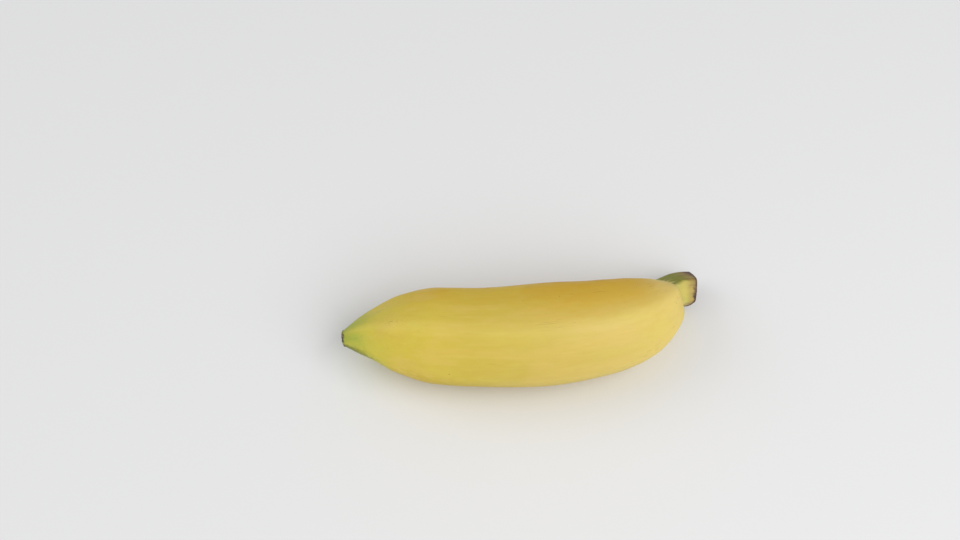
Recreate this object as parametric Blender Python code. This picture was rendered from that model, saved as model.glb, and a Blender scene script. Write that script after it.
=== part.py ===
"""A small dessert banana, picked singly from its hand and lying on its side. Metres, +Z up.

The fruit grew as one piece, so it is one solid: a body swept along a curved middle line, with
five soft ridges, a neck, a short stem with its cut end, and the dry scar of the flower at the tip.
It is built as an arch, stem towards +X and outer curve up, and then laid down: it comes to rest
on three low spots, two under the body and one under the cut stem, with its outer curve turned
towards -Y. The origin is on the ground, under the middle of the fruit.
"""

import math

import bmesh
import bpy
import numpy as np
from mathutils import Vector

NAME = "banana"
MM = 0.001

# Driving dimensions. Distances run along the middle line from the blossom tip, in millimetres.
LENGTH = 117.5
GIRTH = (  # distance, radius
    (0.0, 2.8), (4.0, 5.4), (9.5, 8.3), (17.5, 12.1), (29.0, 14.9), (44.0, 15.3), (62.0, 15.9),
    (79.0, 14.8), (90.5, 13.0), (96.5, 11.0), (100.5, 9.3), (103.0, 8.2), (105.0, 6.9), (107.0, 5.9),
    (110.5, 5.5), (117.5, 5.6),
)
BEND = (  # distance, slope of the middle line in degrees, rising on the tip side of the arch
    (0.0, 5.0), (16.0, 12.0), (30.0, 13.0), (44.0, 7.0), (62.0, -0.5), (79.0, -7.5), (90.5, -26.0),
    (98.5, -42.0), (104.5, -60.0), (110.5, -42.0), (117.5, -13.0),
)
SIDE_BEND = (  # distance, how far the middle line heads out of the arch's plane, in degrees
    (0.0, 6.8), (35.0, 0.0), (93.5, 0.0), (102.5, -5.0), (111.5, -12.5), (117.5, -18.0),
)

# Five ridges round the fruit, turned from its outer line by a few degrees more towards both ends.
RIDGES = 5
RIDGE_SHARPNESS = 0.22
RIDGE_HEIGHT = (  # distance, height as a share of the radius
    (0.0, 0.030), (9.0, 0.050), (30.0, 0.024), (70.0, 0.020), (95.0, 0.036), (109.0, 0.060),
    (117.5, 0.050),
)
RIDGE_TURN = (  # distance, degrees from the outer line
    (0.0, 72.0), (7.0, 60.0), (16.0, 51.0), (45.0, 47.0), (75.0, 44.0), (95.0, 48.0), (110.5, 58.0),
    (117.5, 66.0),
)

# The two ends, as shares of the end's own radius: rings that step inwards, and how far out they lie.
STEM_CUT = ((0.93, 0.05), (0.80, 0.02), (0.52, -0.05), (0.26, -0.02))
BLOSSOM_SCAR = ((0.90, 0.22), (0.66, 0.30), (0.44, 0.02), (0.22, 0.08))

# How it lies: the first guess at its roll from the upright arch, and what each low spot loses.
ROLL_GUESS = 55.0
FLAT_SPOT = 0.30
ON_GROUND = 0.02 * MM     # what lies nearer the ground than this is on it
REST_ZONES = ((0.12, 0.40), (0.45, 0.86), (0.93, 1.0))

RINGS = 78
SIDES = 44
END_CROWDING = 0.55       # 0 spaces the rings evenly, 1 crowds them at both ends

SKIN_COLOUR = (0.71, 0.50, 0.085, 1.0)
SKIN_ROUGHNESS = 0.42


def clear_scene():
    """Removes whatever the file opened with."""
    for thing in list(bpy.data.objects):
        bpy.data.objects.remove(thing, do_unlink=True)


def smooth(stations, places):
    """Reads a smooth curve through the stations, with no overshoot between them."""
    x, y = (np.array(column, dtype=float) for column in zip(*stations))
    step = np.diff(x)
    rise = np.diff(y) / step
    slope = np.zeros_like(y)
    slope[0], slope[-1] = rise[0], rise[-1]
    for k in range(1, len(x) - 1):
        if rise[k - 1] * rise[k] > 0:
            before = 2 * step[k] + step[k - 1]
            after = step[k] + 2 * step[k - 1]
            slope[k] = (before + after) / (before / rise[k - 1] + after / rise[k])
    k = np.clip(np.searchsorted(x, places) - 1, 0, len(step) - 1)
    t = (places - x[k]) / step[k]
    start = (1 + 2 * t) * (1 - t) ** 2 * y[k] + t * (1 - t) ** 2 * step[k] * slope[k]
    end = t * t * (3 - 2 * t) * y[k + 1] + t * t * (t - 1) * step[k] * slope[k + 1]
    return start + end


def ring_places():
    """Distances of the rings along the middle line, closer together near both ends."""
    share = np.linspace(0.0, 1.0, RINGS)
    crowded = 0.5 - 0.5 * np.cos(math.pi * share)
    return LENGTH * ((1 - END_CROWDING) * share + END_CROWDING * crowded)


def middle_line(places):
    """The middle line in the upright arch: its points, where it heads, and its outer side there."""
    fine = np.linspace(0.0, LENGTH, 1200)
    rise, stray = (np.radians(smooth(stations, fine)) for stations in (BEND, SIDE_BEND))
    heading = np.stack([np.cos(rise), np.tan(stray), np.sin(rise)], axis=1)
    steps = 0.5 * (heading[1:] + heading[:-1]) * (fine[1] - fine[0])
    line = np.concatenate([np.zeros((1, 3)), np.cumsum(steps, axis=0)])
    points = np.stack([np.interp(places, fine, column) for column in line.T], axis=1)
    rise, stray = (np.radians(smooth(stations, places)) for stations in (BEND, SIDE_BEND))
    along = np.stack([np.cos(rise) * np.cos(stray), np.sin(stray), np.sin(rise) * np.cos(stray)], axis=1)
    outer = np.stack([-np.sin(rise), np.zeros_like(rise), np.cos(rise)], axis=1)
    return points, along, outer


def section(place, radius):
    """One ring's offsets: sideways (first) and towards the outer line (second)."""
    turn = np.linspace(0.0, 2 * math.pi, SIDES, endpoint=False)
    wave = RIDGES * (turn - math.radians(float(smooth(RIDGE_TURN, np.array([place]))[0])))
    height = float(smooth(RIDGE_HEIGHT, np.array([place]))[0])
    reach = radius * (1 + height * (np.cos(wave) + RIDGE_SHARPNESS * np.cos(2 * wave)))
    return reach * np.sin(turn), reach * np.cos(turn)


def ring(centre, along, outer, place, radius, outwards=0.0):
    """The points of one ring, square to the middle line, moved along it by outwards."""
    to_side, to_outer = section(place, radius)
    side = np.cross(outer, along)
    return centre + outwards * along + np.outer(to_side, side) + np.outer(to_outer, outer)


def fruit_rings():
    """All the rings from the middle of the blossom scar to the middle of the stem's cut."""
    places = ring_places()
    points, along, outer = middle_line(places)
    radii = smooth(GIRTH, places)
    stands = list(zip(points, along, outer, places))
    body = [ring(*stand, radius) for stand, radius in zip(stands, radii)]
    scar = [ring(*stands[0], share * radii[0], -out * radii[0]) for share, out in reversed(BLOSSOM_SCAR)]
    cut = [ring(*stands[-1], share * radii[-1], out * radii[-1]) for share, out in STEM_CUT]
    return scar + body + cut, places


def lay_down(rings, shares):
    """Turns and drops the arch so that its three low spots all meet the ground."""
    cloud = np.concatenate(rings)
    share = np.repeat(shares, SIDES)
    roll = math.radians(ROLL_GUESS)
    up = np.array([0.0, math.sin(roll), math.cos(roll)])
    for _ in range(12):
        low = []
        for start, end in REST_ZONES:
            zone = cloud[(share >= start) & (share <= end)]
            low.append(zone[np.argmin(zone @ up)])
        normal = np.cross(low[1] - low[0], low[2] - low[0])
        up = normal * math.copysign(1.0, normal @ up) / np.linalg.norm(normal)
    chord = rings[-1].mean(axis=0) - rings[0].mean(axis=0)
    forward = chord - (chord @ up) * up
    forward /= np.linalg.norm(forward)
    turn = np.array([forward, np.cross(up, forward), up])
    laid = [points @ turn.T for points in rings]
    ground = float(low[0] @ up) + FLAT_SPOT
    return [points - np.array([0.0, 0.0, ground]) for points in laid]


def skin_material():
    """Plain ripe yellow, satin."""
    skin = bpy.data.materials.new("banana_skin")
    skin.use_nodes = True
    shader = skin.node_tree.nodes["Principled BSDF"]
    shader.inputs["Base Color"].default_value = SKIN_COLOUR
    shader.inputs["Roughness"].default_value = SKIN_ROUGHNESS
    shader.inputs["Metallic"].default_value = 0.0
    return skin


def skin_over(rings):
    """Joins the rings into one closed body, with a fan of faces in the middle of each end."""
    body = bmesh.new()
    loops = [[body.verts.new(Vector(point) * MM) for point in points] for points in rings]
    for near, far in zip(loops, loops[1:]):
        for k in range(SIDES):
            after = (k + 1) % SIDES
            body.faces.new((near[k], far[k], far[after], near[after]))
    for loop in (loops[0], loops[-1]):
        middle = body.verts.new(sum((vert.co for vert in loop), Vector()) / SIDES)
        for k in range(SIDES):
            body.faces.new((loop[k], loop[(k + 1) % SIDES], middle))
    bmesh.ops.recalc_face_normals(body, faces=body.faces)
    return body


def flatten_low_spots(body):
    """Takes off what is below the ground, which leaves small flat spots to rest on."""
    everything = list(body.verts) + list(body.edges) + list(body.faces)
    bmesh.ops.bisect_plane(
        body, geom=everything, dist=ON_GROUND, plane_co=(0, 0, 0), plane_no=(0, 0, -1), clear_outer=True,
    )
    for vert in body.verts:
        if vert.co.z < ON_GROUND:
            vert.co.z = 0.0
    bmesh.ops.holes_fill(body, edges=[edge for edge in body.edges if edge.is_boundary], sides=0)
    bmesh.ops.triangulate(body, faces=body.faces)
    bmesh.ops.recalc_face_normals(body, faces=body.faces)


def make_banana():
    rings, places = fruit_rings()
    shares = np.concatenate([
        np.zeros(len(BLOSSOM_SCAR)), places / LENGTH, np.ones(len(STEM_CUT)),
    ])
    body = skin_over(lay_down(rings, shares))
    flatten_low_spots(body)
    points = np.array([vert.co for vert in body.verts])
    middle = (points.min(axis=0) + points.max(axis=0)) / 2
    bmesh.ops.translate(body, vec=(-middle[0], -middle[1], 0.0), verts=body.verts)
    mesh = bpy.data.meshes.new(NAME)
    body.to_mesh(mesh)
    body.free()
    mesh.shade_smooth()
    mesh.materials.append(skin_material())
    bpy.context.scene.collection.objects.link(bpy.data.objects.new(NAME, mesh))


clear_scene()
make_banana()
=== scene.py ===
# %% [markdown]
# A small dessert banana, lying on its side.
# This lesson dresses a plain solid of the fruit, which is already the right size and lies where it should.
# The fruit grew as one piece, so nearly all of it is one skin, swept along its bent middle line. Two small
# pieces stand on its ends: dry shreds of the flower at the tip, and fibre ends on the cut stem.
# The solid is loaded first and never moved.

# %% The frame
import math

import bpy
import numpy as np
from mathutils import Euler, Matrix, Vector
from mathutils.bvhtree import BVHTree


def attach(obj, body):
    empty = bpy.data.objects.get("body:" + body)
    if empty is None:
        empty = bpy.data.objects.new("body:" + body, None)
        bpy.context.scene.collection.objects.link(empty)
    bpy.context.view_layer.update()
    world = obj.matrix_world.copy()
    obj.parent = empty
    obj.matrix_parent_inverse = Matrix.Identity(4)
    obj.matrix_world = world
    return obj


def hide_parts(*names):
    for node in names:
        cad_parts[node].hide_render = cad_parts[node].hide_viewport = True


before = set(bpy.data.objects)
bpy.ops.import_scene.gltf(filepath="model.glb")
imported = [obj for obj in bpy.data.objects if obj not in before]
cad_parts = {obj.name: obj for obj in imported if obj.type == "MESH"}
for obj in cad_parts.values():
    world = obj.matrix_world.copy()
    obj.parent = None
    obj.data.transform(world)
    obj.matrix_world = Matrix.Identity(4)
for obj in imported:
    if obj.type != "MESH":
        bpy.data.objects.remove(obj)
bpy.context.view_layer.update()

MM = 0.001
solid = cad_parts["banana"]

# %% [markdown]
# The camera.
# The picture to match was taken from well above the fruit and a little to its left. A camera could be aimed
# straight at the fruit and then moved until the framing looks right. Here its direction is a pair of angles,
# and the aim is worked out so that a known point of the fruit lands on a known pixel. The framing then stays
# put when the angles are tuned.

# %% The camera
PICTURE = (960, 540)  # pixels
LENS = 85.2  # millimetres, as is the sensor's width
SENSOR = 36.0
VIEW_AZIMUTH = 11.6  # degrees round from the front, towards the blossom tip
VIEW_ELEVATION = 59.2  # degrees above the horizon
VIEW_DISTANCE = 0.700
SEEN_POINT = Vector((0.0, 0.0, 12 * MM))
SEEN_PIXEL = (527.9, 337.4)  # where SEEN_POINT shows in the picture


def place_camera():
    """Makes the camera and aims it so that SEEN_POINT shows at SEEN_PIXEL."""
    azimuth, elevation = math.radians(VIEW_AZIMUTH), math.radians(VIEW_ELEVATION)
    ahead = Vector((
        math.sin(azimuth) * math.cos(elevation),
        math.cos(azimuth) * math.cos(elevation),
        -math.sin(elevation),
    ))
    right = ahead.cross(Vector((0, 0, 1))).normalized()
    up = right.cross(ahead)
    pixel = SENSOR / LENS / PICTURE[0]
    aside = (SEEN_PIXEL[0] - PICTURE[0] / 2) * pixel
    above = (PICTURE[1] / 2 - SEEN_PIXEL[1]) * pixel
    camera = bpy.data.objects.new("camera", bpy.data.cameras.new("camera"))
    camera.data.lens = LENS
    camera.data.sensor_width = SENSOR
    camera.location = SEEN_POINT - ahead * VIEW_DISTANCE
    aim = (ahead - right * aside - up * above).normalized()
    side = aim.cross(up).normalized()
    camera.rotation_mode = "QUATERNION"
    camera.rotation_quaternion = Matrix((side, side.cross(aim), -aim)).transposed().to_quaternion()
    bpy.context.scene.collection.objects.link(camera)
    bpy.context.scene.camera = camera
    return camera


camera = place_camera()
print("the camera stands at", [round(value, 3) for value in camera.location])

# %% [markdown]
# A language for nodes.
# Materials and shapes are both made of nodes from here on. Each node could be created, filled and linked line
# by line, but that buries the idea under bookkeeping. A few short helpers read like the formula instead.
# add() makes one node and fills its sockets with plain values or with the results of other nodes, and the
# rest name the steps that come up again and again.

# %% Helpers for node trees


def add(tree, kind, values=None, **settings):
    """Adds a node. A value in values is a plain one, or another node's output, which is linked."""
    node = tree.nodes.new(kind)
    for name, setting in settings.items():
        setattr(node, name, setting)
    for key, value in (values or {}).items():
        if isinstance(value, bpy.types.NodeSocket):
            tree.links.new(value, node.inputs[key])
        else:
            node.inputs[key].default_value = value
    return node


def maths(tree, operation, *values):
    return add(tree, "ShaderNodeMath", dict(enumerate(values)), operation=operation).outputs[0]


def times(tree, first, second):
    return maths(tree, "MULTIPLY", first, second)


def rest_of(tree, share):
    return maths(tree, "SUBTRACT", 1.0, share)


def counting(tree, operation, *values):
    return add(tree, "FunctionNodeIntegerMath", dict(enumerate(values)), operation=operation).outputs[0]


def vectors(tree, operation, *values):
    node = add(tree, "ShaderNodeVectorMath", dict(enumerate(values)), operation=operation)
    return node.outputs["Value" if operation in ("LENGTH", "DOT_PRODUCT") else "Vector"]


def scaled(tree, vector, factor):
    values = {"Vector": vector, "Scale": factor}
    return add(tree, "ShaderNodeVectorMath", values, operation="SCALE").outputs[0]


def joined(tree, x, y, z):
    return add(tree, "ShaderNodeCombineXYZ", {"X": x, "Y": y, "Z": z}).outputs[0]


def parted(tree, vector):
    return add(tree, "ShaderNodeSeparateXYZ", {"Vector": vector}).outputs


def between(tree, value, low, high, start=0.0, end=1.0):
    """Turns low to high into start to end, gently at both."""
    values = {"Value": value, "From Min": low, "From Max": high, "To Min": start, "To Max": end}
    return add(tree, "ShaderNodeMapRange", values, interpolation_type="SMOOTHSTEP").outputs[0]


def noise(tree, vector, scale, detail=2.0, roughness=0.5):
    values = {"Vector": vector, "Scale": scale, "Detail": detail, "Roughness": roughness}
    return add(tree, "ShaderNodeTexNoise", values).outputs[0]


def new_tree(kind, name, inputs, outputs):
    """A node tree with named sockets, and its input and output nodes' sockets."""
    tree = bpy.data.node_groups.new(name, kind)
    for title, form, *value in inputs:
        socket = tree.interface.new_socket(title, in_out="INPUT", socket_type="NodeSocket" + form)
        if value:
            socket.default_value = value[0]
    for title, form in outputs:
        tree.interface.new_socket(title, in_out="OUTPUT", socket_type="NodeSocket" + form)
    return tree, tree.nodes.new("NodeGroupInput").outputs, tree.nodes.new("NodeGroupOutput").inputs


# %% [markdown]
# The room.
# A fruit like this is best seen under a big soft light, which leaves broad highlights and no hard edges. One
# bright lamp would be simpler, but it burns a spot on the satin skin. Here a wide panel in front and a weaker
# one behind light the fruit, and a pale world fills the shade. The floor is plain, pale and matte, so that it
# throws light back up under the fruit as a white table does.

# %% The light and the floor
KEY_PLACE = Vector((0.42, -0.70, 0.85))
KEY_SIZE = (1.40, 1.00)
KEY_WATTS = 10.8
FILL_PLACE = Vector((-0.85, 0.30, 0.75))
FILL_SIZE = (0.90, 0.70)
FILL_WATTS = 2.6
SKY_COLOUR = (0.98, 0.985, 1.0)
SKY_STRENGTH = 0.47
FLOOR_REACH = 4.0
FLOOR_COLOUR = (0.80, 0.80, 0.80, 1.0)
FLOOR_ROUGHNESS = 0.9


def soft_panel(name, place, size, watts):
    """A rectangular light that faces the fruit."""
    lamp = bpy.data.lights.new(name, "AREA")
    lamp.shape = "RECTANGLE"
    lamp.size, lamp.size_y = size
    lamp.energy = watts
    panel = bpy.data.objects.new(name, lamp)
    panel.location = place
    panel.rotation_euler = (SEEN_POINT - place).to_track_quat("-Z", "Y").to_euler()
    bpy.context.scene.collection.objects.link(panel)


def make_sky():
    world = bpy.data.worlds.new("pale room")
    world.use_nodes = True
    shader = world.node_tree.nodes["Background"].inputs
    shader["Color"].default_value = (*SKY_COLOUR, 1.0)
    shader["Strength"].default_value = SKY_STRENGTH
    bpy.context.scene.world = world


def make_floor():
    """A square sheet under the fruit, with a plain pale paint on it."""
    reach = FLOOR_REACH
    corners = [(-reach, -reach, 0), (reach, -reach, 0), (reach, reach, 0), (-reach, reach, 0)]
    mesh = bpy.data.meshes.new("floor")
    mesh.from_pydata(corners, [], [(0, 1, 2, 3)])
    paint = bpy.data.materials.new("floor_paint")
    paint.use_nodes = True
    shader = paint.node_tree.nodes["Principled BSDF"].inputs
    shader["Base Color"].default_value = FLOOR_COLOUR
    shader["Roughness"].default_value = FLOOR_ROUGHNESS
    mesh.materials.append(paint)
    floor = bpy.data.objects.new("floor", mesh)
    bpy.context.scene.collection.objects.link(floor)


soft_panel("key_panel", KEY_PLACE, KEY_SIZE, KEY_WATTS)
soft_panel("fill_panel", FILL_PLACE, FILL_SIZE, FILL_WATTS)
make_sky()
make_floor()
bpy.context.scene.view_settings.view_transform = "Standard"

# %% [markdown]
# The fruit's measurements.
# These are the driving dimensions of the solid, in millimetres and degrees, read along the middle line from
# the blossom tip. They could be read back from the solid's mesh, but a rule is finer than any mesh: the same
# rule can be swept with as many rings as the eye can tell apart.

# %% The measurements
LENGTH = 117.5
GIRTH = (  # distance, radius
    (0.0, 2.8), (4.0, 5.4), (9.5, 8.3), (17.5, 12.1), (29.0, 14.9), (44.0, 15.3), (62.0, 15.9),
    (79.0, 14.8), (90.5, 13.0), (96.5, 11.0), (100.5, 9.3), (103.0, 8.2), (105.0, 6.9), (107.0, 5.9),
    (110.5, 5.5), (117.5, 5.6),
)
BEND = (  # distance, slope of the middle line, rising on the tip side of the arch
    (0.0, 5.0), (16.0, 12.0), (30.0, 13.0), (44.0, 7.0), (62.0, -0.5), (79.0, -7.5), (90.5, -26.0),
    (98.5, -42.0), (104.5, -60.0), (110.5, -42.0), (117.5, -13.0),
)
SIDE_BEND = (  # distance, how far the middle line heads out of the arch's plane
    (0.0, 6.8), (35.0, 0.0), (93.5, 0.0), (102.5, -5.0), (111.5, -12.5), (117.5, -18.0),
)
RIDGES = 5
RIDGE_SHARPNESS = 0.22
RIDGE_HEIGHT = (  # distance, height as a share of the radius
    (0.0, 0.030), (9.0, 0.050), (30.0, 0.024), (70.0, 0.020), (95.0, 0.036), (109.0, 0.060),
    (117.5, 0.050),
)
RIDGE_TURN = (  # distance, degrees from the outer line
    (0.0, 72.0), (7.0, 60.0), (16.0, 51.0), (45.0, 47.0), (75.0, 44.0), (95.0, 48.0), (110.5, 58.0),
    (117.5, 66.0),
)
BLOSSOM_SCAR = (  # share of the tip's radius, how far it stands out as a share of that radius
    (0.0, 0.08), (0.22, 0.08), (0.44, 0.02), (0.66, 0.30), (0.90, 0.22), (1.0, 0.0),
)
STEM_CUT = ((0.0, -0.02), (0.26, -0.02), (0.52, -0.05), (0.80, 0.02), (0.93, 0.05), (1.0, 0.0))


def smooth(stations, places):
    """Reads a smooth curve through the stations, with no overshoot between them."""
    x, y = (np.array(column, dtype=float) for column in zip(*stations))
    step = np.diff(x)
    rise = np.diff(y) / step
    slope = np.zeros_like(y)
    slope[0], slope[-1] = rise[0], rise[-1]
    for k in range(1, len(x) - 1):
        if rise[k - 1] * rise[k] > 0:
            before = 2 * step[k] + step[k - 1]
            after = step[k] + 2 * step[k - 1]
            slope[k] = (before + after) / (before / rise[k - 1] + after / rise[k])
    k = np.clip(np.searchsorted(x, places) - 1, 0, len(step) - 1)
    t = (places - x[k]) / step[k]
    start = (1 + 2 * t) * (1 - t) ** 2 * y[k] + t * (1 - t) ** 2 * step[k] * slope[k]
    end = t * t * (3 - 2 * t) * y[k + 1] + t * t * (t - 1) * step[k] * slope[k + 1]
    return start + end


print("the fruit is", LENGTH, "mm along its curve and", 2 * max(radius for _, radius in GIRTH), "mm thick")

# %% [markdown]
# The guide line.
# A banana's skin is one closed sheet round a bent line. It could be sculpted, or bent from a straight tube by
# modifiers, but both lose the true radius on the inside of the bend. Sweeping keeps it: each point of this
# guide stands for one ring of the skin, and carries as attributes everything the sweep needs there, such as
# the ring's radius and its directions. The rows go on over both ends to the middle of the scar and of the
# cut, so the skin closes there. They are closer together near the ends, where the detail is finer.

# %% The guide line
LINE_STEPS = 1200  # how finely the middle line itself is worked out
BODY_ROWS = 344
END_ROWS = 26
END_CROWDING = 0.62  # 0 spaces the rows evenly, 1 crowds them at both ends
SKIN_INSET = 0.05  # how far the skin stays inside the solid, in millimetres
LIE = Euler([math.radians(angle) for angle in (68.7937, 0.4225, -5.6270)])  # how the arch is laid down
TIP_PLACE = np.array((-55.404, 11.346, 11.370))  # where the arch's start then is
WRINKLE_DEPTH = (  # distance, depth of the creases along the fruit
    (0.0, 0.16), (5.0, 0.11), (12.0, 0.02), (30.0, 0.0), (92.0, 0.0), (103.0, 0.05), (109.0, 0.16),
    (117.5, 0.20),
)


def middle_line(places):
    """The middle line in the upright arch: its points, where it heads, and its outer side there."""
    fine = np.linspace(0.0, LENGTH, LINE_STEPS)
    rise, stray = (np.radians(smooth(stations, fine)) for stations in (BEND, SIDE_BEND))
    heading = np.stack([np.cos(rise), np.tan(stray), np.sin(rise)], axis=1)
    steps = 0.5 * (heading[1:] + heading[:-1]) * (fine[1] - fine[0])
    line = np.concatenate([np.zeros((1, 3)), np.cumsum(steps, axis=0)])
    points = np.stack([np.interp(places, fine, column) for column in line.T], axis=1)
    rise, stray = (np.radians(smooth(stations, places)) for stations in (BEND, SIDE_BEND))
    along = np.stack([np.cos(rise) * np.cos(stray), np.sin(stray), np.sin(rise) * np.cos(stray)], axis=1)
    outer = np.stack([-np.sin(rise), np.zeros_like(rise), np.cos(rise)], axis=1)
    return points, along, outer


def guide_rows():
    """Every row's distance, radius and step outwards, and which end it is on: -1, 0 for the body, or 1."""
    even = np.linspace(0.0, 1.0, BODY_ROWS)
    body = LENGTH * ((1 - END_CROWDING) * even + END_CROWDING * (0.5 - 0.5 * np.cos(math.pi * even)))
    share = np.linspace(0.0, 1.0, END_ROWS, endpoint=False)
    tip, stem = GIRTH[0][1], GIRTH[-1][1]
    distance = np.concatenate([np.zeros(END_ROWS), body, np.full(END_ROWS, LENGTH)])
    radius = np.concatenate([share * tip, smooth(GIRTH, body), share[::-1] * stem])
    outwards = np.concatenate([
        -tip * smooth(BLOSSOM_SCAR, share), np.zeros(BODY_ROWS), stem * smooth(STEM_CUT, share[::-1]),
    ])
    end = np.concatenate([-np.ones(END_ROWS), np.zeros(BODY_ROWS), np.ones(END_ROWS)])
    return distance, radius, outwards, end


def make_guide():
    """The guide as a mesh of loose points, laid down in its place, in metres."""
    distance, radius, outwards, end = guide_rows()
    centre, tangent, outer = middle_line(distance)
    turn = np.array(LIE.to_matrix())
    place = (centre + outwards[:, None] * tangent) @ turn.T + TIP_PLACE
    rim = np.where(end < 0, GIRTH[0][1], GIRTH[-1][1])
    carried = {
        "tangent": tangent @ turn.T,
        "outer": outer @ turn.T,
        "sideways": np.cross(outer, tangent) @ turn.T,
        "end_side": end,
        "radius": np.maximum(radius - SKIN_INSET, 0.0) * MM,
        "along": (distance + end * (rim - radius)) * MM,
        "ridge_height": smooth(RIDGE_HEIGHT, distance),
        "ridge_turn": np.radians(smooth(RIDGE_TURN, distance)),
        "wrinkle_depth": smooth(WRINKLE_DEPTH, distance) * MM * (end == 0),
    }
    mesh = bpy.data.meshes.new("guide")
    mesh.from_pydata([tuple(point) for point in place * MM], [], [])
    for name, values in carried.items():
        kind, field = ("FLOAT_VECTOR", "vector") if values.ndim == 2 else ("FLOAT", "value")
        mesh.attributes.new(name, kind, "POINT").data.foreach_set(field, values.astype(np.float32).ravel())
    return mesh


guide = make_guide()
print("the guide has", len(guide.vertices), "rows and carries", [item.name for item in guide.attributes])

# %% [markdown]
# Shared finishes.
# Skin, cut and scar share three effects. Streaks are drawn-out blotches that run along the fruit, as its
# fibres do. Specks are small round dots, each a little different, that leave most places bare. Dried tissue
# goes from a paler to a darker brown in crumbs and cracks. Each could be copied into every material, but a
# group is built once and takes the material's own values. All of them read a place on the straightened fruit:
# across it in x and y, and along it in z, all in metres.

# %% The shared groups
SMALLEST_SPECK = 0.35  # as a share of the largest
CRUMB_TONES = (0.35, 0.68)  # where the crumbs' noise is darkest and palest
CRUMB_HEIGHT = 0.25  # millimetres, as is the depth of the cracks
CRACK_DEPTH = 0.08
CRACK_WIDTH = 0.10  # as a share of a cell between the cracks
CRACKS_PER_CRUMB = 0.6


def streaks_group():
    """Drawn-out blotches, from 0 to 1."""
    tree, given, made = new_tree(
        "ShaderNodeTree", "Streaks",
        (("Place", "Vector"), ("Width", "Float", 0.001), ("Drawn out", "Float", 10.0),
         ("Contrast", "Float", 0.5), ("Shift", "Float", 0.0)),
        (("Mask", "Float"),),
    )
    shrink = maths(tree, "DIVIDE", 1.0, given["Drawn out"])
    drawn = vectors(tree, "MULTIPLY", given["Place"], joined(tree, 1.0, 1.0, shrink))
    moved = vectors(tree, "ADD", drawn, joined(tree, given["Shift"], 0.0, 0.0))
    blotches = noise(tree, moved, maths(tree, "DIVIDE", 1.0, given["Width"]), detail=3.0, roughness=0.55)
    half = times(tree, rest_of(tree, given["Contrast"]), 0.5)
    tree.links.new(between(tree, blotches, half, rest_of(tree, half)), made["Mask"])
    return tree


def specks_group():
    """Small dots of several sizes, from 0 to 1. Share is how many of the places hold one."""
    tree, given, made = new_tree(
        "ShaderNodeTree", "Specks",
        (("Place", "Vector"), ("Spacing", "Float", 0.002), ("Size", "Float", 0.2),
         ("Share", "Float", 0.2), ("Softness", "Float", 0.5), ("Shift", "Float", 0.0)),
        (("Mask", "Float"),),
    )
    moved = vectors(tree, "ADD", given["Place"], joined(tree, given["Shift"], 0.0, 0.0))
    scale = maths(tree, "DIVIDE", 1.0, given["Spacing"])
    cells = add(tree, "ShaderNodeTexVoronoi", {"Vector": moved, "Scale": scale, "Randomness": 0.9})
    draw = add(tree, "ShaderNodeSeparateColor", {"Color": cells.outputs["Color"]}).outputs
    edge = times(tree, given["Size"], between(tree, draw[1], 0.0, 1.0, SMALLEST_SPECK, 1.0))
    inner = times(tree, edge, rest_of(tree, given["Softness"]))
    dot = between(tree, cells.outputs["Distance"], edge, inner)
    chosen = maths(tree, "LESS_THAN", draw[0], given["Share"])
    tree.links.new(times(tree, dot, chosen), made["Mask"])
    return tree


def mixed(tree, factor, first, second):
    """Two colours mixed, the second by that factor."""
    node = add(tree, "ShaderNodeMix", {0: factor}, data_type="RGBA")
    for socket, colour in ((node.inputs[6], first), (node.inputs[7], second)):
        if isinstance(colour, bpy.types.NodeSocket):
            tree.links.new(colour, socket)
        else:
            socket.default_value = (*colour, 1.0)
    return node.outputs[2]


def dried_group():
    """Crumbly dried tissue: its colour, and its height in millimetres."""
    tree, given, made = new_tree(
        "ShaderNodeTree", "Dried tissue",
        (("Place", "Vector"), ("Crumb", "Float", 0.0006),
         ("Pale", "Color", (0.2, 0.12, 0.06, 1.0)), ("Dark", "Color", (0.03, 0.02, 0.015, 1.0)),
         ("Shift", "Float", 0.0)),
        (("Color", "Color"), ("Height", "Float")),
    )
    moved = vectors(tree, "ADD", given["Place"], joined(tree, given["Shift"], 0.0, 0.0))
    scale = maths(tree, "DIVIDE", 1.0, given["Crumb"])
    crumbs = noise(tree, moved, scale, detail=4.0, roughness=0.65)
    values = {"Vector": moved, "Scale": times(tree, scale, CRACKS_PER_CRUMB)}
    cells = add(tree, "ShaderNodeTexVoronoi", values, feature="DISTANCE_TO_EDGE")
    crack = between(tree, cells.outputs["Distance"], CRACK_WIDTH, 0.0)
    tone = times(tree, between(tree, crumbs, *CRUMB_TONES), rest_of(tree, crack))
    tree.links.new(mixed(tree, tone, given["Dark"], given["Pale"]), made["Color"])
    height = times(tree, crumbs, CRUMB_HEIGHT)
    height = maths(tree, "SUBTRACT", height, times(tree, crack, CRACK_DEPTH))
    tree.links.new(height, made["Height"])
    return tree


STREAKS = streaks_group()
SPECKS = specks_group()
DRIED = dried_group()


def use(tree, group, **values):
    """Places a shared group. An underscore in a name stands for a space."""
    named = {name.replace("_", " "): value for name, value in values.items()}
    return add(tree, "ShaderNodeGroup", named, node_tree=group).outputs


print("shared groups:", [group.name for group in (STREAKS, SPECKS, DRIED)])

# %% Helpers for the finishes
BUMP_UNIT = 1.0 * MM  # the heights of all the finishes are in millimetres


def new_material(name):
    material = bpy.data.materials.new(name)
    material.use_nodes = True
    return material, material.node_tree, material.node_tree.nodes["Principled BSDF"]


def colour_ramp(tree, value, stops):
    """A ramp through the stops, each a place and its colour. The first is at 0 and the last at 1."""
    node = add(tree, "ShaderNodeValToRGB", {"Fac": value})
    for place, _ in stops[1:-1]:
        node.color_ramp.elements.new(place)
    for element, (_, colour) in zip(node.color_ramp.elements, stops):
        element.color = (*colour, 1.0)
    return node.outputs["Color"]


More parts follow.
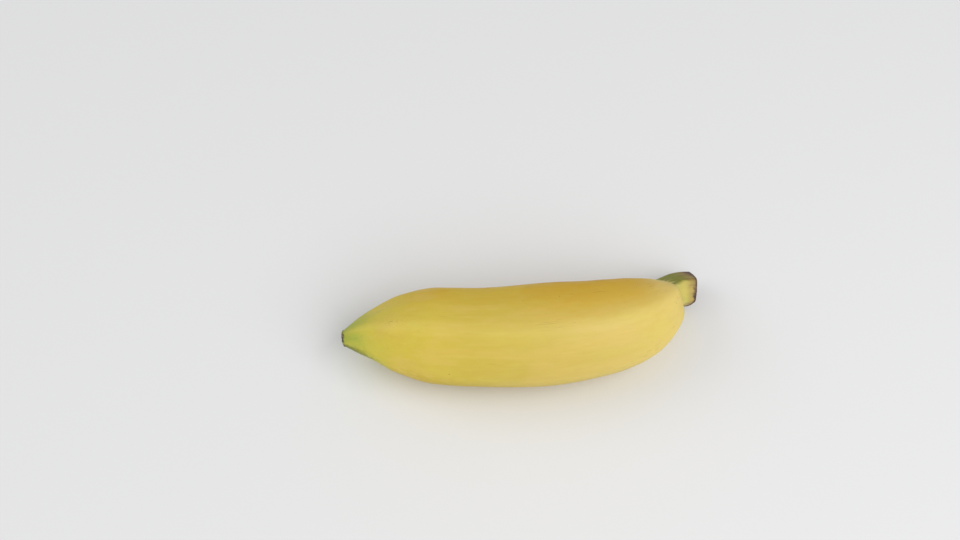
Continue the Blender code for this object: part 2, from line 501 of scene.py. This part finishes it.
def with_bump(tree, shader, height):
    bump = add(tree, "ShaderNodeBump", {"Height": height, "Distance": BUMP_UNIT})
    tree.links.new(bump.outputs["Normal"], shader.inputs["Normal"])


def growing(tree, along, start, full, *shares):
    """0 up to one distance from the tip and 1, or the share, from the other, both in millimetres."""
    return between(tree, along, start * MM, full * MM, *shares)


def stretch_of(tree, along, start, full, fades, gone):
    """1 between two distances from the tip, and gently 0 outside. All are in millimetres."""
    return times(tree, growing(tree, along, start, full), growing(tree, along, gone, fades))


# %% [markdown]
# The skin's finish.
# Ripe skin is a satin yellow that is never one yellow. It is lime at the tip and olive on the neck, where it
# ripens last, clear towards the tip and creamy towards the stem, where some of the cream is a painted
# reflection, and gold inside the curve. A painted image could hold all that, but it would have a seam and one
# resolution. Here the skin's patterns are made once, and every layer reads them: a list of stops along the
# fruit, tints that follow its clouds, streaks and ridges, patches on one side, brown marks, and the dry ends.
# The patches are the tip's own lime on its flanks, and painted shade elsewhere: a duller gold on the lower
# side near the tip, amber on the upper side, dark olive under the tip and on the neck's upper side, and brown
# over the stem's upper corner, which is partly its dry rim.

# %% The skin's patterns
STREAK_PATTERNS = {  # width in millimetres, how drawn out, contrast, shift
    "fibres": (0.9, 16.0, 0.55, 0.0),
    "bands": (4.0, 5.0, 0.6, 0.3),
    "mottle": (2.4, 1.6, 0.6, 0.7),
    "clouds": (9.0, 2.5, 0.5, 1.9),
    "hairs": (0.35, 26.0, 0.3, 1.1),
}
SPECK_PATTERNS = {
    "freckles": {"Spacing": 2.6 * MM, "Size": 0.12, "Share": 0.08, "Softness": 0.6},
    "dust": {"Spacing": 1.1 * MM, "Size": 0.15, "Share": 0.12, "Softness": 0.6, "Shift": 0.4},
}
HAIRLINES_IN_HAIRS = (0.80, 1.0)  # hairlines are the tops of the hairs, where the bands are low
HAIRLINES_IN_BANDS = (0.35, 0.05)
PORE_WIDTH = 0.35  # millimetres
FIBRES_IN_UNEVEN = 0.6  # unevenness is the mottle and this share of the fibres
UNEVEN_MIDDLE = 0.8  # what it comes to on average


def read_skin(tree):
    """What the skin's layers read: the place on the fruit, its ridges, and its patterns."""
    place = add(tree, "ShaderNodeAttribute", attribute_name="skin_place").outputs["Vector"]
    read = {"place": place, "along": parted(tree, place)[2]}
    for name in ("crest", "outer_side"):
        read[name] = add(tree, "ShaderNodeAttribute", attribute_name=name).outputs["Fac"]
    for name, (width, drawn_out, contrast, shift) in STREAK_PATTERNS.items():
        read[name] = use(
            tree, STREAKS, Place=place, Width=width * MM, Drawn_out=drawn_out, Contrast=contrast, Shift=shift,
        )["Mask"]
    for name, values in SPECK_PATTERNS.items():
        read[name] = use(tree, SPECKS, Place=place, **values)["Mask"]
    tops = between(tree, read["hairs"], *HAIRLINES_IN_HAIRS)
    read["hairlines"] = times(tree, tops, between(tree, read["bands"], *HAIRLINES_IN_BANDS))
    read["pores"] = noise(tree, place, 1 / (PORE_WIDTH * MM))
    read["uneven"] = maths(tree, "MULTIPLY_ADD", read["fibres"], FIBRES_IN_UNEVEN, read["mottle"])
    return read


# %% The skin's colours
RIPENESS = (  # distance from the tip, colour
    (0.0, (0.315, 0.400, 0.050)), (3.0, (0.445, 0.480, 0.061)), (6.5, (0.582, 0.530, 0.066)),
    (11.0, (0.668, 0.555, 0.065)), (20.0, (0.684, 0.530, 0.068)), (40.0, (0.618, 0.470, 0.068)),
    # the stops from 62 to 99 mm turn creamier: partly the skin's own tone, partly a painted reflection of
    # pale surroundings
    (62.0, (0.618, 0.468, 0.090)), (84.0, (0.674, 0.516, 0.132)), (99.0, (0.755, 0.575, 0.150)),
    (103.5, (0.715, 0.560, 0.125)), (106.5, (0.580, 0.520, 0.110)), (112.0, (0.540, 0.480, 0.110)),
    (117.5, (0.460, 0.405, 0.095)),
)
RIPENESS_SWAY = 2.5  # how far streaks and ridges push the ripeness along, in millimetres
GOLD = (0.665, 0.400, 0.014)
# painted shade: a deep amber for the upper side, as a neighbouring fruit would shade it
PAINTED_SHADE_AMBER = (0.610, 0.340, 0.008)
# painted shade: a duller gold for the lower side of the body near the tip, which faces down
PAINTED_SHADE_GOLD = (0.560, 0.400, 0.014)
# painted shade: a dark olive for the underside of the tip and the upper side of the neck
PAINTED_SHADE_OLIVE = (0.160, 0.172, 0.004)
LIME = (0.390, 0.450, 0.045)
PEACH = (0.775, 0.530, 0.160)
LEMON = (0.690, 0.590, 0.085)
PALE_STREAK = (0.860, 0.720, 0.260)
DEEP_STREAK = (0.600, 0.420, 0.050)
SPECK_BROWN = (0.210, 0.105, 0.030)
DRYING_TAN = (0.370, 0.235, 0.080)  # the last of the stem, before the cut
RIM_BROWN = (0.085, 0.045, 0.035)
CREST_SWAY = 0.5  # how much of the sway comes from the ridges
INNER_GOLD = 0.78  # how much of the gold there is inside the curve
INNER_SIDE = (0.55, -0.45)  # where it starts and is full: 1 is the outer line, -1 the inner one
GOLD_STRETCH = (10.0, 32.0, 96.0, 106.0)  # distances where it starts, is full, fades and is gone
TINTS = (  # pattern, where in it the tint starts and is full, the tint's share there, the tint
    ("clouds", 0.48, 0.95, 0.27, PEACH), ("clouds", 0.5, 0.1, 0.22, LEMON),
    ("bands", 0.45, 1.0, 0.16, DEEP_STREAK), ("mottle", 0.5, 0.0, 0.13, DEEP_STREAK),
    ("crest", 0.55, 1.0, 0.08, PALE_STREAK), ("fibres", 0.5, 1.0, 0.06, PALE_STREAK),
)


def ripe_colour(tree, read):
    """The yellows: the ripeness along the fruit, the gold inside its curve, and the tints."""
    sway = maths(tree, "MULTIPLY_ADD", read["crest"], CREST_SWAY, maths(tree, "SUBTRACT", read["bands"], 0.5))
    ripe = maths(tree, "MULTIPLY_ADD", sway, RIPENESS_SWAY * MM, read["along"])
    stops = [(place / LENGTH, tone) for place, tone in RIPENESS]
    colour = colour_ramp(tree, maths(tree, "DIVIDE", ripe, LENGTH * MM), stops)
    inner = between(tree, read["outer_side"], *INNER_SIDE, 0.0, INNER_GOLD)
    gold = times(tree, inner, stretch_of(tree, read["along"], *GOLD_STRETCH))
    colour = mixed(tree, gold, colour, GOLD)
    for pattern, start, full, share, tint in TINTS:
        colour = mixed(tree, between(tree, read[pattern], start, full, 0.0, share), colour, tint)
    return colour


# %% The cheeks and the painted shade
CHEEKS_AND_PAINTED_SHADE = (  # degrees it faces round the fruit, how wide, starts, is full, fades, is gone, share, tint
    # painted shade: the lower side near the tip, which faces down, darker and duller
    (302.0, 0.2, 9.0, 17.0, 32.0, 52.0, 0.60, PAINTED_SHADE_GOLD),
    # painted shade: the upper side of the body darker amber, as under a neighbouring fruit
    (118.0, 0.7, 46.0, 76.0, 90.0, 104.0, 0.57, PAINTED_SHADE_AMBER),
    (110.0, 0.3, -6.0, -5.0, 4.0, 12.0, 0.50, LIME),
    (310.0, 0.3, -6.0, -5.0, 5.0, 18.0, 0.65, LIME),
    # painted shade: the underside of the tip darker olive
    (320.0, 0.2, -6.0, -5.0, 3.0, 11.0, 0.72, PAINTED_SHADE_OLIVE),
    # painted shade: the upper side of the neck dark olive
    (98.0, 0.2, 103.5, 109.0, 122.0, 124.0, 0.88, PAINTED_SHADE_OLIVE),
    # the dry rim's brown widened over the stem's upper corner: partly its own dry rim and partly painted
    # shade
    (90.0, 0.3, 113.0, 118.5, 122.0, 124.0, 0.75, RIM_BROWN),
)
CHEEK_FACE = 0.88  # how squarely the skin faces a cheek's side where the cheek is full
CHEEK_STRAY = 7.0  # how far a cheek's ends run along the streaks, in millimetres
CHEEK_FRAY = 0.16  # how far its sides do
print("the skin runs through", len(RIPENESS), "stops,", len(TINTS), "tints and", len(CHEEKS_AND_PAINTED_SHADE), "cheeks")


def with_cheeks_and_painted_shade(tree, read, colour):
    """Adds one-sided patches of lime and of painted shade, with edges that run out along the streaks."""
    across = vectors(tree, "NORMALIZE", vectors(tree, "MULTIPLY", read["place"], (1.0, 1.0, 0.0)))
    stray = maths(tree, "SUBTRACT", read["uneven"], UNEVEN_MIDDLE)
    loose = maths(tree, "MULTIPLY_ADD", stray, CHEEK_STRAY * MM, read["along"])
    for degrees, wide, start, full, fades, gone, share, tint in CHEEKS_AND_PAINTED_SHADE:
        side = (math.sin(math.radians(degrees)), math.cos(math.radians(degrees)), 0.0)
        squarely = vectors(tree, "DOT_PRODUCT", across, side)
        squarely = maths(tree, "MULTIPLY_ADD", stray, CHEEK_FRAY, squarely)
        cheek = between(tree, squarely, CHEEK_FACE - wide, CHEEK_FACE, 0.0, share)
        cheek = times(tree, cheek, stretch_of(tree, loose, start, full, fades, gone))
        colour = mixed(tree, cheek, colour, tint)
    return colour


# %% Marks and dry ends
MARKS = {"dust": 0.20, "freckles": 0.50, "hairlines": 0.30}  # how strong each is
RAGGED = 1.3  # how far the dry edges follow the unevenness, in millimetres
DRYING = (LENGTH - 5.5, LENGTH + 0.8)  # distances where it starts and is full, as for the rims
DRYING_SHARE = 0.7
TIP_RIM = (1.3, 0.5)
STEM_RIM = (LENGTH - 1.1, LENGTH + 0.8)


def with_marks(tree, read, colour):
    """Adds brown dust, freckles and hairlines."""
    for mark, share in MARKS.items():
        colour = mixed(tree, times(tree, read[mark], share), colour, SPECK_BROWN)
    return colour


def with_dry_ends(tree, read, colour):
    """Dries the end of the stem to tan, and both rims to brown, with ragged edges."""
    ragged = maths(tree, "MULTIPLY_ADD", read["uneven"], RAGGED * MM, read["along"])
    colour = mixed(tree, growing(tree, ragged, *DRYING, 0.0, DRYING_SHARE), colour, DRYING_TAN)
    tip_rim, stem_rim = (growing(tree, ragged, *rim) for rim in (TIP_RIM, STEM_RIM))
    return mixed(tree, maths(tree, "MAXIMUM", tip_rim, stem_rim), colour, RIM_BROWN)


# %% Gloss, glow and relief
SKIN_RELIEF = {"fibres": 0.032, "mottle": 0.045, "pores": 0.018, "freckles": -0.03}  # millimetres
SKIN_ROUGHNESS = (0.45, 0.60)
ROUGHNESS_RANGE = (0.4, 1.6)  # the unevenness where the skin is glossiest and roughest
FRECKLE_ROUGHNESS = 0.2  # how much rougher a freckle is
SKIN_SPECULAR = 0.30
SKIN_GLOW = 0.12  # how much light goes into the skin and out beside
SKIN_GLOW_RADIUS = (1.0, 0.65, 0.2)
SKIN_GLOW_DEPTH = 1.2 * MM


def skin_material():
    """The whole skin: its colour in layers, a satin gloss, a little glow and fine relief."""
    material, tree, shader = new_material("ripe_skin")
    read = read_skin(tree)
    colour = ripe_colour(tree, read)
    for layer in (with_cheeks_and_painted_shade, with_marks, with_dry_ends):
        colour = layer(tree, read, colour)
    tree.links.new(colour, shader.inputs["Base Color"])

    rough = maths(tree, "ADD", read["mottle"], read["fibres"])
    rough = between(tree, rough, *ROUGHNESS_RANGE, *SKIN_ROUGHNESS)
    rough = maths(tree, "MULTIPLY_ADD", read["freckles"], FRECKLE_ROUGHNESS, rough)
    tree.links.new(rough, shader.inputs["Roughness"])
    shader.inputs["Specular IOR Level"].default_value = SKIN_SPECULAR
    shader.inputs["Subsurface Weight"].default_value = SKIN_GLOW
    shader.inputs["Subsurface Radius"].default_value = SKIN_GLOW_RADIUS
    shader.inputs["Subsurface Scale"].default_value = SKIN_GLOW_DEPTH

    height = 0.0
    for pattern, tall in SKIN_RELIEF.items():
        height = maths(tree, "MULTIPLY_ADD", read[pattern], tall, height)
    with_bump(tree, shader, height)
    return material


SKIN = skin_material()
print("the skin's finish has", len(SKIN.node_tree.nodes), "nodes")

# %% [markdown]
# The finishes of the two ends.
# The stem was cut from its hand, and the cut has dried: a dark purplish rim, a tan face that is palest in the
# core, and the dark ends of the fibre bundles in it. The flower's scar is a dark crust with patches of green
# skin left in its edge. Both are dried tissue with their own colours, so they share that group, and each adds
# what only it has.

# %% The cut, the scar and the dry shreds
CUT_PALE = (0.480, 0.340, 0.185)
CUT_DARK = (0.190, 0.110, 0.062)
CUT_CORE = (0.560, 0.430, 0.250)
BUNDLE_BROWN = (0.100, 0.058, 0.036)
SCAR_PALE = (0.270, 0.215, 0.090)
SCAR_DARK = (0.024, 0.017, 0.012)
SCAR_GREEN = (0.330, 0.350, 0.060)
DRY_FINISHES = {  # pale, dark, how wide its crumbs are in millimetres, shift
    "stem_cut": (CUT_PALE, CUT_DARK, 0.70, 0.2),
    "blossom_scar": (SCAR_PALE, SCAR_DARK, 0.55, 0.5),
    "dry_shred": (SCAR_PALE, SCAR_DARK, 0.35, 0.9),
    "dry_fibre": (CUT_PALE, BUNDLE_BROWN, 0.30, 1.3),
}
DRY_ROUGHNESS = 0.78
BUNDLES = {"Spacing": 0.85 * MM, "Size": 0.34, "Share": 0.75, "Softness": 0.5}
BUNDLE_SHARE = 0.6
CORE = (LENGTH + 2.6, LENGTH + 4.6)  # distances where it starts and is full, going on inwards over the cut
CORE_SHARE = 0.45
CUT_RIM = (LENGTH + 1.5, LENGTH + 0.4)
CUT_RAGGED = 2.5  # how far the rim follows the crumbs
GREEN_WIDTH = 1.5  # how wide the green patches on the scar are, in millimetres
GREEN_IN_NOISE = (0.44, 0.54)
GREEN_EDGE = (-0.75, -0.15)  # distances where they start and are full


def dry_material(name):
    """A material of dried tissue, and what a caller needs to add to it."""
    pale, dark, crumb, shift = DRY_FINISHES[name]
    material, tree, shader = new_material(name)
    place = add(tree, "ShaderNodeAttribute", attribute_name="skin_place").outputs["Vector"]
    dried = use(tree, DRIED, Place=place, Crumb=crumb * MM, Pale=(*pale, 1.0), Dark=(*dark, 1.0), Shift=shift)
    tree.links.new(dried["Color"], shader.inputs["Base Color"])
    shader.inputs["Roughness"].default_value = DRY_ROUGHNESS
    with_bump(tree, shader, dried["Height"])
    return material, tree, shader, place, dried


def cut_material():
    """The dried cut, with a paler core, the fibre bundles and a dark rim."""
    material, tree, shader, place, dried = dry_material("stem_cut")
    along = parted(tree, place)[2]
    colour = mixed(tree, growing(tree, along, *CORE, 0.0, CORE_SHARE), dried["Color"], CUT_CORE)
    bundles = use(tree, SPECKS, Place=place, **BUNDLES)["Mask"]
    colour = mixed(tree, times(tree, bundles, BUNDLE_SHARE), colour, BUNDLE_BROWN)
    ragged = maths(tree, "MULTIPLY_ADD", dried["Height"], CUT_RAGGED * MM, along)
    colour = mixed(tree, growing(tree, ragged, *CUT_RIM), colour, RIM_BROWN)
    tree.links.new(colour, shader.inputs["Base Color"])
    return material


def scar_material():
    """The dry crust of the flower's scar, with green patches in its edge."""
    material, tree, shader, place, dried = dry_material("blossom_scar")
    patches = between(tree, noise(tree, place, 1 / (GREEN_WIDTH * MM)), *GREEN_IN_NOISE)
    green = times(tree, patches, growing(tree, parted(tree, place)[2], *GREEN_EDGE))
    tree.links.new(mixed(tree, green, dried["Color"], SCAR_GREEN), shader.inputs["Base Color"])
    return material


CUT = cut_material()
SCAR = scar_material()
SHRED = dry_material("dry_shred")[0]
BUNDLE = dry_material("dry_fibre")[0]
print("the ends use", [material.name for material in (CUT, SCAR, SHRED, BUNDLE)])

# %% [markdown]
# Sweeping the skin.
# The skin follows a rule, so Geometry Nodes make it. A flat grid has one row for each point of the guide, and
# every point of the grid finds its ring by its row and its turn round the ring by its column. It then moves
# to the guide's point plus the reach of the ridged section there. Shallow dents and creases are taken off
# inwards, so the skin never leaves the solid. What would sink below the ground is pressed flat, as the solid
# is. The place on the straightened fruit and the ridges are stored, because the finishes read them.

# %% Reading the guide


def guide_at(tree, guide_points, row, *numbers):
    """What the guide carries at that row: its place and directions, and the numbers asked for."""
    kinds = {name: "FLOAT_VECTOR" for name in ("position", "tangent", "outer", "sideways")}
    kinds.update({name: "FLOAT" for name in numbers})
    ring = {}
    for name, kind in kinds.items():
        if name == "position":
            field = add(tree, "GeometryNodeInputPosition").outputs[0]
        else:
            field = add(tree, "GeometryNodeInputNamedAttribute", {"Name": name}, data_type=kind).outputs[0]
        values = {"Geometry": guide_points, "Value": field, "Index": row}
        ring[name] = add(tree, "GeometryNodeSampleIndex", values, data_type=kind, clamp=True).outputs[0]
    return ring


def at_turn(tree, ring, turn, radius):
    """The way outwards at that turn, the place on the straightened fruit, and the turn's cosine."""
    sine, cosine = maths(tree, "SINE", turn), maths(tree, "COSINE", turn)
    sideways, outer = scaled(tree, ring["sideways"], sine), scaled(tree, ring["outer"], cosine)
    flat_x, flat_y = (times(tree, radius, part) for part in (sine, cosine))
    return vectors(tree, "ADD", sideways, outer), joined(tree, flat_x, flat_y, ring["along"]), cosine


def stored(tree, geometry, name, kind, value, domain="POINT"):
    values = {"Geometry": geometry, "Name": name, "Value": value}
    return add(tree, "GeometryNodeStoreNamedAttribute", values, data_type=kind, domain=domain).outputs[0]


# %% The skin's tree
CREASE_SQUEEZE = 0.12  # how much the creases feel of the way along, which draws them out
DEEPEST = 0.5  # the largest share of the reach that a dent may take, near the poles
WELD = 0.001 * MM


def skin_tree():
    """Sweeps the guide's rings into one closed skin."""
    tree, given, made = new_tree(
        "GeometryNodeTree", "Banana skin",
        (("Guide", "Geometry"), ("Sides", "Int", 216), ("Ridges", "Int", 5),
         ("Sharpness", "Float", 0.2), ("Length", "Float", 0.1), ("Dent depth", "Float", 0.0002),
         ("Dent size", "Float", 0.014), ("Crease width", "Float", 0.001), ("End relief", "Float", 0.0003),
         ("End grain", "Float", 0.0008), ("Skin", "Material"), ("Cut", "Material"),
         ("Scar", "Material")),
        (("Geometry", "Geometry"),),
    )
    rows = add(tree, "GeometryNodeAttributeDomainSize", {"Geometry": given["Guide"]}).outputs["Point Count"]
    columns = counting(tree, "ADD", given["Sides"], 1)
    size = {"Size X": 1.0, "Size Y": 1.0, "Vertices X": rows, "Vertices Y": columns}
    grid = add(tree, "GeometryNodeMeshGrid", size)
    index = add(tree, "GeometryNodeInputIndex").outputs[0]
    row = counting(tree, "DIVIDE_FLOOR", index, columns)
    column = counting(tree, "MODULO", index, columns)
    turn = maths(tree, "DIVIDE", times(tree, column, 2 * math.pi), given["Sides"])

    ring = guide_at(
        tree, given["Guide"], row,
        "radius", "along", "ridge_height", "ridge_turn", "wrinkle_depth", "end_side",
    )
    radial, place, cosine = at_turn(tree, ring, turn, ring["radius"])
    wave = times(tree, maths(tree, "SUBTRACT", turn, ring["ridge_turn"]), given["Ridges"])
    crest = maths(tree, "COSINE", wave)
    sharp = maths(tree, "COSINE", times(tree, wave, 2.0))
    swell = maths(tree, "MULTIPLY_ADD", sharp, given["Sharpness"], crest)
    stretch = maths(tree, "MULTIPLY_ADD", swell, ring["ridge_height"], 1.0)
    reach = times(tree, ring["radius"], stretch)

    dents = noise(tree, place, maths(tree, "DIVIDE", 1.0, given["Dent size"]), detail=1.0)
    creased = vectors(tree, "MULTIPLY", place, (1.0, 1.0, CREASE_SQUEEZE))
    creases = noise(tree, creased, maths(tree, "DIVIDE", 1.0, given["Crease width"]))
    depth = times(tree, creases, ring["wrinkle_depth"])
    on_body = rest_of(tree, maths(tree, "ABSOLUTE", ring["end_side"]))
    depth = maths(tree, "MULTIPLY_ADD", times(tree, dents, on_body), given["Dent depth"], depth)
    depth = maths(tree, "MINIMUM", depth, times(tree, reach, DEEPEST))
    reach = maths(tree, "SUBTRACT", reach, depth)
    grain = noise(tree, place, maths(tree, "DIVIDE", 1.0, given["End grain"]), detail=3.0, roughness=0.6)
    inwards = times(tree, times(tree, grain, given["End relief"]), ring["end_side"])
    position = vectors(tree, "ADD", ring["position"], scaled(tree, radial, reach))
    position = vectors(tree, "SUBTRACT", position, scaled(tree, ring["tangent"], inwards))
    x, y, z = parted(tree, position)
    position = joined(tree, x, y, maths(tree, "MAXIMUM", z, 0.0))

    skin = stored(tree, grid.outputs["Mesh"], "UVMap", "FLOAT2", grid.outputs["UV Map"], "CORNER")
    skin = stored(tree, skin, "skin_place", "FLOAT_VECTOR", place)
    skin = stored(tree, skin, "crest", "FLOAT", crest)
    skin = stored(tree, skin, "outer_side", "FLOAT", cosine)
    skin = add(tree, "GeometryNodeSetPosition", {"Geometry": skin, "Position": position}).outputs[0]
    skin = add(tree, "GeometryNodeMergeByDistance", {"Geometry": skin, "Distance": WELD}).outputs[0]
    skin = add(tree, "GeometryNodeSetShadeSmooth", {"Geometry": skin}).outputs[0]
    kept = add(tree, "GeometryNodeInputNamedAttribute", {"Name": "skin_place"}, data_type="FLOAT_VECTOR")
    along = parted(tree, kept.outputs["Attribute"])[2]
    is_scar = maths(tree, "LESS_THAN", along, 0.0)
    is_cut = maths(tree, "GREATER_THAN", along, given["Length"])
    skin = add(tree, "GeometryNodeSetMaterial", {"Geometry": skin, "Material": given["Skin"]}).outputs[0]
    for chosen, finish in ((is_scar, "Scar"), (is_cut, "Cut")):
        values = {"Geometry": skin, "Selection": chosen, "Material": given[finish]}
        skin = add(tree, "GeometryNodeSetMaterial", values).outputs[0]
    skin = add(tree, "GeometryNodeRealizeInstances", {"Geometry": skin}).outputs[0]
    tree.links.new(skin, made["Geometry"])
    return tree


# %% Growing a piece


def grown(name, tree, **settings):
    """Runs a tree on the guide, and returns what it makes as a plain mesh object at the origin."""
    named = {key.replace("_", " "): value for key, value in settings.items()}
    holder = bpy.data.objects.new(name + "_guide", guide)
    bpy.context.scene.collection.objects.link(holder)
    modifier = holder.modifiers.new("shape", "NODES")
    modifier.node_group = tree
    for item in tree.interface.items_tree:
        if item.in_out == "INPUT" and item.name in named:
            modifier[item.identifier] = named[item.name]
    now = bpy.context.evaluated_depsgraph_get()
    mesh = bpy.data.meshes.new_from_object(
        holder.evaluated_get(now), preserve_all_data_layers=True, depsgraph=now,
    )
    holder.modifiers.remove(modifier)
    bpy.data.objects.remove(holder)
    mesh.name = name
    if mesh.materials[0] is None:  # the guide's own empty slot
        mesh.materials.pop(index=0)
    piece = bpy.data.objects.new(name, mesh)
    bpy.context.scene.collection.objects.link(piece)
    triangles = sum(len(face.vertices) - 2 for face in mesh.polygons)
    print(name, "has", triangles, "triangles and the finishes", [finish.name for finish in mesh.materials])
    return piece


fruit = grown(
    "banana_fruit", skin_tree(), Sides=214, Ridges=RIDGES, Sharpness=RIDGE_SHARPNESS, Length=LENGTH * MM,
    Dent_depth=0.22 * MM, Dent_size=13.0 * MM, Crease_width=1.3 * MM, End_relief=0.45 * MM,
    End_grain=0.9 * MM, Skin=SKIN, Cut=CUT, Scar=SCAR,
)

# %% [markdown]
# Checking the skin against the solid.
# The skin was swept from the same measurements, so it should lie on the solid everywhere. That could be
# judged by eye, but a search tree of the solid's faces finds the widest gap in a moment.

# %% The gap between skin and solid


def widest_gap(piece):
    """How far the piece's furthest point is from the solid's surface, in metres."""
    faces = [tuple(face.vertices) for face in solid.data.polygons]
    surface = BVHTree.FromPolygons([point.co for point in solid.data.vertices], faces)
    return max(surface.find_nearest(point.co)[3] for point in piece.data.vertices)


print("the skin strays from the solid by", round(widest_gap(fruit) / MM, 2), "mm at most")

# %% [markdown]
# Dry shreds and fibre ends.
# Small dry threads stand on both ends: what is left of the flower at the tip, and the ends of the fibres on
# the cut. They could be modelled one by one, but they are many and all alike, so one tree makes both sets.
# It spreads points over the end as the seeds of a sunflower spread, stands a bent, tapered thread on each,
# leans it outwards and varies its size.

# %% One thread
CONE = {  # a thread before it is bent, with its width and height as units
    "Vertices": 7, "Side Segments": 6, "Fill Segments": 1,
    "Radius Top": 0.25, "Radius Bottom": 1.0, "Depth": 1.0,
}
CRUMPLE_SCALE = 2.3  # how often a thread is crumpled in its height
CRUMPLE_DEPTH = 0.5  # as a share of its width


def thread_shape(tree, given):
    """One thread, standing up, a unit tall, bent and a little crumpled."""
    cone = add(tree, "GeometryNodeMeshCone", CONE, fill_type="NGON").outputs["Mesh"]
    position = add(tree, "GeometryNodeInputPosition").outputs[0]
    x, y, z = parted(tree, position)
    bend = times(tree, maths(tree, "POWER", maths(tree, "MAXIMUM", z, 0.0), 2.0), given["Bend"])
    bent = maths(tree, "MULTIPLY_ADD", x, given["Width"], bend)
    flattened = times(tree, times(tree, y, given["Width"]), given["Flatness"])
    values = {"Vector": position, "Scale": CRUMPLE_SCALE, "Detail": 1.0}
    crumple = add(tree, "ShaderNodeTexNoise", values).outputs["Color"]
    crumple = vectors(tree, "SUBTRACT", crumple, (0.5, 0.5, 0.5))
    crumple = vectors(tree, "MULTIPLY", crumple, (CRUMPLE_DEPTH, CRUMPLE_DEPTH, 0.0))
    shape = vectors(tree, "ADD", joined(tree, bent, flattened, z), scaled(tree, crumple, given["Width"]))
    return add(tree, "GeometryNodeSetPosition", {"Geometry": cone, "Position": shape}).outputs[0]


# %% The threads' tree
SUNFLOWER_TURN = math.pi * (3 - math.sqrt(5))  # the turn from one seed of a sunflower to the next
THREAD_DRAWS = {  # what is drawn for each thread, in this order, and between which values
    "slot": (0.2, 0.8),  # where it stands in its slot, outwards
    "stray": (-0.35, 0.35),  # how far it strays round the end, in radians
    "lean": (0.1, 1.0),  # a share, as are the height and the width
    "spin": (0.0, 2 * math.pi),
    "height": (0.45, 1.0),
    "width": (0.7, 1.1),
}


def drawn(tree, low, high, seed):
    """A random number for each point, the same in every run."""
    node = add(tree, "FunctionNodeRandomValue", {"Seed": seed}, data_type="FLOAT")
    for socket in node.inputs:
        if socket.enabled and socket.name in ("Min", "Max"):
            socket.default_value = low if socket.name == "Min" else high
    return next(socket for socket in node.outputs if socket.enabled)


def threads_tree():
    """Stands threads on one end of the guide."""
    tree, given, made = new_tree(
        "GeometryNodeTree", "End threads",
        (("Guide", "Geometry"), ("Row", "Int", 0), ("Count", "Int", 10), ("Inner", "Float", 0.0),
         ("Outer", "Float", 1.0), ("Rim", "Float", 0.003), ("Height", "Float", 0.001),
         ("Width", "Float", 0.3), ("Flatness", "Float", 1.0), ("Bend", "Float", 0.2),
         ("Lean", "Float", 0.5), ("Sink", "Float", 0.0002), ("Seed", "Int", 1),
         ("Material", "Material")),
        (("Geometry", "Geometry"),),
    )
    ring = guide_at(tree, given["Guide"], given["Row"], "end_side", "along")
    ahead = scaled(tree, ring["tangent"], ring["end_side"])
    index = add(tree, "GeometryNodeInputIndex").outputs[0]
    draw = {
        name: drawn(tree, low, high, counting(tree, "ADD", given["Seed"], step))
        for step, (name, (low, high)) in enumerate(THREAD_DRAWS.items())
    }
    part = maths(tree, "DIVIDE", maths(tree, "ADD", index, draw["slot"]), given["Count"])
    inner_area, outer_area = (maths(tree, "POWER", given[name], 2.0) for name in ("Inner", "Outer"))
    area = maths(tree, "MULTIPLY_ADD", part, maths(tree, "SUBTRACT", outer_area, inner_area), inner_area)
    reach = times(tree, maths(tree, "SQRT", area), given["Rim"])
    turn = maths(tree, "MULTIPLY_ADD", index, SUNFLOWER_TURN, draw["stray"])
    radial, place, _ = at_turn(tree, ring, turn, reach)
    position = vectors(tree, "ADD", ring["position"], scaled(tree, radial, reach))
    position = vectors(tree, "SUBTRACT", position, scaled(tree, ahead, given["Sink"]))

    points = add(tree, "GeometryNodePoints", {"Count": given["Count"], "Position": position}).outputs[0]
    points = stored(tree, points, "skin_place", "FLOAT_VECTOR", place)
    leaning = scaled(tree, radial, times(tree, given["Lean"], draw["lean"]))
    upright = vectors(tree, "ADD", ahead, leaning)
    aligned = add(tree, "FunctionNodeAlignRotationToVector", {"Vector": upright}, axis="Z").outputs[0]
    spin = joined(tree, 0.0, 0.0, draw["spin"])
    spun = add(tree, "FunctionNodeEulerToRotation", {"Euler": spin}).outputs[0]
    turns = {"Rotation": aligned, "Rotate By": spun}
    turned = add(tree, "FunctionNodeRotateRotation", turns, rotation_space="LOCAL").outputs[0]
    height, width = (times(tree, given["Height"], draw[name]) for name in ("height", "width"))
    values = {
        "Points": points, "Instance": thread_shape(tree, given), "Rotation": turned,
        "Scale": joined(tree, width, width, height),
    }
    threads = add(tree, "GeometryNodeInstanceOnPoints", values).outputs[0]
    threads = add(tree, "GeometryNodeRealizeInstances", {"Geometry": threads}).outputs[0]
    values = {"Geometry": threads, "Material": given["Material"]}
    tree.links.new(add(tree, "GeometryNodeSetMaterial", values).outputs[0], made["Geometry"])
    return tree


# %% The shreds and the fibre ends
THREADS = threads_tree()
shreds = grown(
    "blossom_shreds", THREADS, Row=0, Count=11, Inner=0.45, Outer=0.86, Rim=GIRTH[0][1] * MM,
    Height=0.62 * MM, Width=0.34, Flatness=0.45, Bend=0.25, Lean=0.7, Sink=0.15 * MM, Seed=7,
    Material=SHRED,
)
fibres = grown(
    "stem_fibres", THREADS, Row=len(guide.vertices) - 1, Count=64, Inner=0.0, Outer=0.86,
    Rim=GIRTH[-1][1] * MM, Height=0.55 * MM, Width=0.30, Flatness=0.9, Bend=0.15, Lean=0.25, Sink=0.35 * MM,
    Seed=21, Material=BUNDLE,
)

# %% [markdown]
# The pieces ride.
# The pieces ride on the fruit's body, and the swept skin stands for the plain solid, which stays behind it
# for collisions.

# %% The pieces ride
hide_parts("banana")
for piece in (fruit, shreds, fibres):
    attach(piece, "root")
